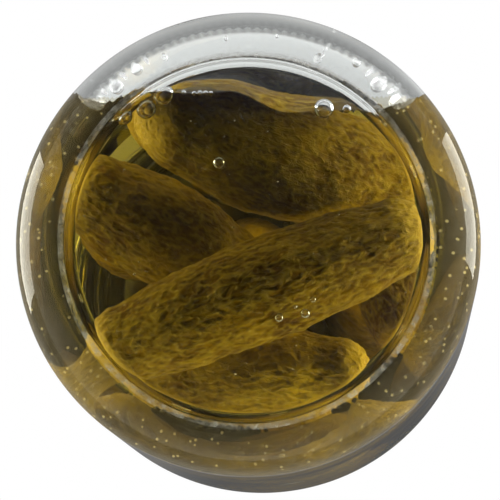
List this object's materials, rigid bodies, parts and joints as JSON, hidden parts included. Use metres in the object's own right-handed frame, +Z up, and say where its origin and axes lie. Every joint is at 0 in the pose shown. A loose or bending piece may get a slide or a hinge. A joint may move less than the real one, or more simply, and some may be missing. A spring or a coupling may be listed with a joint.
{
  "type": "mason jar",
  "caption": "Clear glass canning jar filled with whole pickled cucumbers in brine, closed by a flat lid and a screw band.",
  "frame": {"origin": "middle of the plane of the ring that the jar stands on, under its base", "axes": "+Z up along the jar's axis, towards the lid; +Y is the side where air is trapped at the foot of the wall"},
  "size_m": [0.098, 0.098, 0.1734],
  "materials": {
    "glass": "polished",
    "sealing_compound": "satin",
    "lid_metal": "satin",
    "band_metal": "satin",
    "brine": "polished",
    "pickle_skin": "satin",
    "seed": "satin"
  },
  "bodies": {
    "jar": {"brine": "brine", "jar": "glass", "loose_seeds": "seed", "pickle_back": "pickle_skin", "pickle_centre": "pickle_skin", "pickle_crossed": "pickle_skin", "pickle_front": "pickle_skin", "pickle_left": "pickle_skin", "pickle_low": "pickle_skin", "pickle_right": "pickle_skin", "pickle_standing_1": "pickle_skin", "pickle_standing_2": "pickle_skin", "pickle_standing_3": "pickle_skin", "pickle_standing_4": "pickle_skin", "pickle_standing_5": "pickle_skin", "pickle_standing_6": "pickle_skin", "pickle_wedged": "pickle_skin"},
    "lid": {"lid_disc": "lid_metal", "sealing_ring": "sealing_compound"},
    "band": {"screw_band": "band_metal"}
  },
  "joints": [
    {"name": "lid_lift", "type": "slide", "parent": "jar", "child": "lid", "axis": [0, 0, 1], "range_m": [0, 0.00635]},
    {"name": "band_turn", "type": "hinge", "parent": "lid", "child": "band", "pos_m": [0, 0, 0.165], "axis": [0, 0, 1], "range_deg": [0, 450]}
  ],
  "couplings": [
    {"joint": "lid_lift", "follows": "band_turn", "m_per_rad": 0.00080851}
  ]
}
